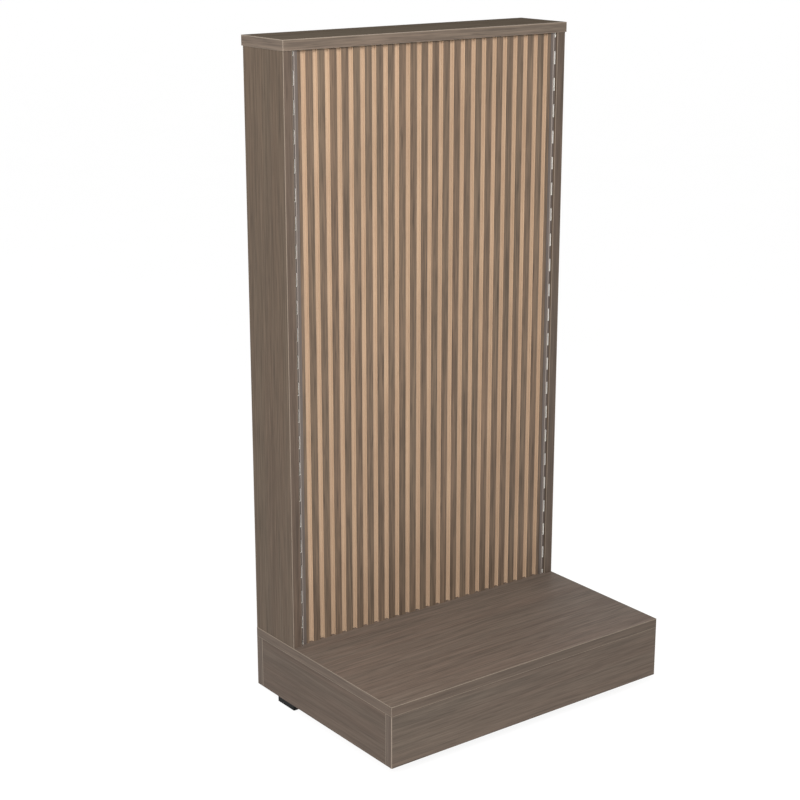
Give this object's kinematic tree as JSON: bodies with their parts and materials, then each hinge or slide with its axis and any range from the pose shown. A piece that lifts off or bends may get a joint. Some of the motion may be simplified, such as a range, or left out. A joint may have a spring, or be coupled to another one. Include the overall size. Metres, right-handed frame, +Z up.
{
  "type": "slatwall display fixture",
  "caption": "Free-standing single-sided display fixture: low base with deck, tall capped body, vertically grooved slat panel between slotted bracket standards, leveling feet.",
  "frame": {"origin": "on the floor, at the centre of the overall footprint, under the bounding box's middle", "axes": "+X to the right as seen from the front, -Y to the front where the deck projects, +Z up"},
  "size_m": [0.6504, 0.4412, 1.28],
  "materials": {
    "woodgrain_laminate": "low-sheen printed woodgrain laminate, grey brown",
    "edge_banding": "woodgrain edge banding, slightly lighter",
    "raw_fibreboard": "machined raw fibreboard, matt tan",
    "standard_face": "satin grey-brown face strip",
    "standard_metal": "mill finish",
    "inner_board": "laminated board, unseen",
    "hardwood": "sanded, unfinished",
    "black_plastic": "moulded black",
    "zinc_steel": "zinc plated"
  },
  "bodies": {
    "fixture": {"back_panel": "woodgrain_laminate", "back_panel_screws": "zinc_steel", "base_back_board": "woodgrain_laminate", "base_end_bands": "edge_banding", "base_front_board": "woodgrain_laminate", "base_left_board": "woodgrain_laminate", "base_right_board": "woodgrain_laminate", "base_stretcher": "inner_board", "bottom_rail": "inner_board", "bottom_rail_screws": "zinc_steel", "bracket_screws": "zinc_steel", "cam_bolts": "zinc_steel", "cam_locks": "zinc_steel", "cap_edge_bands": "edge_banding", "corner_block_screws": "zinc_steel", "deck_board": "woodgrain_laminate", "deck_cleat_screws": "zinc_steel", "deck_edge_bands": "edge_banding", "front_left_corner_block": "hardwood", "front_left_leveler_block": "hardwood", "front_right_corner_block": "hardwood", "front_right_leveler_block": "hardwood", "left_deck_cleat": "hardwood", "left_slotted_standard": "standard_metal", "left_standard_face_strip": "standard_face", "left_upright": "woodgrain_laminate", "leveler_tee_nuts": "zinc_steel", "lower_rail": "inner_board", "panel_angle_brackets": "zinc_steel", "rear_left_corner_block": "hardwood", "rear_left_leveler_block": "hardwood", "rear_right_corner_block": "hardwood", "rear_right_leveler_block": "hardwood", "right_deck_cleat": "hardwood", "right_slotted_standard": "standard_metal", "right_standard_face_strip": "standard_face", "right_upright": "woodgrain_laminate", "slat_back_laminate": "woodgrain_laminate", "slat_face_laminate": "woodgrain_laminate", "slat_panel_core": "raw_fibreboard", "standard_screws": "zinc_steel", "top_cap": "woodgrain_laminate", "top_rail": "inner_board", "upper_rail": "inner_board", "upright_deck_screws": "zinc_steel", "upright_edge_bands": "edge_banding", "wood_dowels": "hardwood"},
    "front_left_pad": {"front_left_foot_pad": "black_plastic"},
    "front_left_stem": {"front_left_leveler_stem": "zinc_steel"},
    "front_right_pad": {"front_right_foot_pad": "black_plastic"},
    "front_right_stem": {"front_right_leveler_stem": "zinc_steel"},
    "rear_left_pad": {"rear_left_foot_pad": "black_plastic"},
    "rear_left_stem": {"rear_left_leveler_stem": "zinc_steel"},
    "rear_right_pad": {"rear_right_foot_pad": "black_plastic"},
    "rear_right_stem": {"rear_right_leveler_stem": "zinc_steel"}
  },
  "joints": [
    {"name": "front_left_pad_slide", "type": "slide", "parent": "fixture", "child": "front_left_pad", "axis": [0, 0, 1], "range_m": [-0.0101, 0.0101]},
    {"name": "front_left_stem_turn", "type": "hinge", "parent": "front_left_pad", "child": "front_left_stem", "pos_m": [-0.23445, -0.1066, 0.05], "axis": [0, 0, 1], "range_deg": [-2400, 2400]},
    {"name": "front_right_pad_slide", "type": "slide", "parent": "fixture", "child": "front_right_pad", "axis": [0, 0, 1], "range_m": [-0.0101, 0.0101]},
    {"name": "front_right_stem_turn", "type": "hinge", "parent": "front_right_pad", "child": "front_right_stem", "pos_m": [0.23445, -0.1066, 0.05], "axis": [0, 0, 1], "range_deg": [-2400, 2400]},
    {"name": "rear_left_pad_slide", "type": "slide", "parent": "fixture", "child": "rear_left_pad", "axis": [0, 0, 1], "range_m": [-0.0101, 0.0101]},
    {"name": "rear_left_stem_turn", "type": "hinge", "parent": "rear_left_pad", "child": "rear_left_stem", "pos_m": [-0.2744, 0.15325, 0.05], "axis": [0, 0, 1], "range_deg": [-2400, 2400]},
    {"name": "rear_right_pad_slide", "type": "slide", "parent": "fixture", "child": "rear_right_pad", "axis": [0, 0, 1], "range_m": [-0.0101, 0.0101]},
    {"name": "rear_right_stem_turn", "type": "hinge", "parent": "rear_right_pad", "child": "rear_right_stem", "pos_m": [0.2744, 0.15325, 0.05], "axis": [0, 0, 1], "range_deg": [-2400, 2400]}
  ],
  "couplings": [
    {"joint": "front_left_pad_slide", "follows": "front_left_stem_turn", "m_per_rad": 0.00023873},
    {"joint": "front_right_pad_slide", "follows": "front_right_stem_turn", "m_per_rad": 0.00023873},
    {"joint": "rear_left_pad_slide", "follows": "rear_left_stem_turn", "m_per_rad": 0.00023873},
    {"joint": "rear_right_pad_slide", "follows": "rear_right_stem_turn", "m_per_rad": 0.00023873}
  ]
}
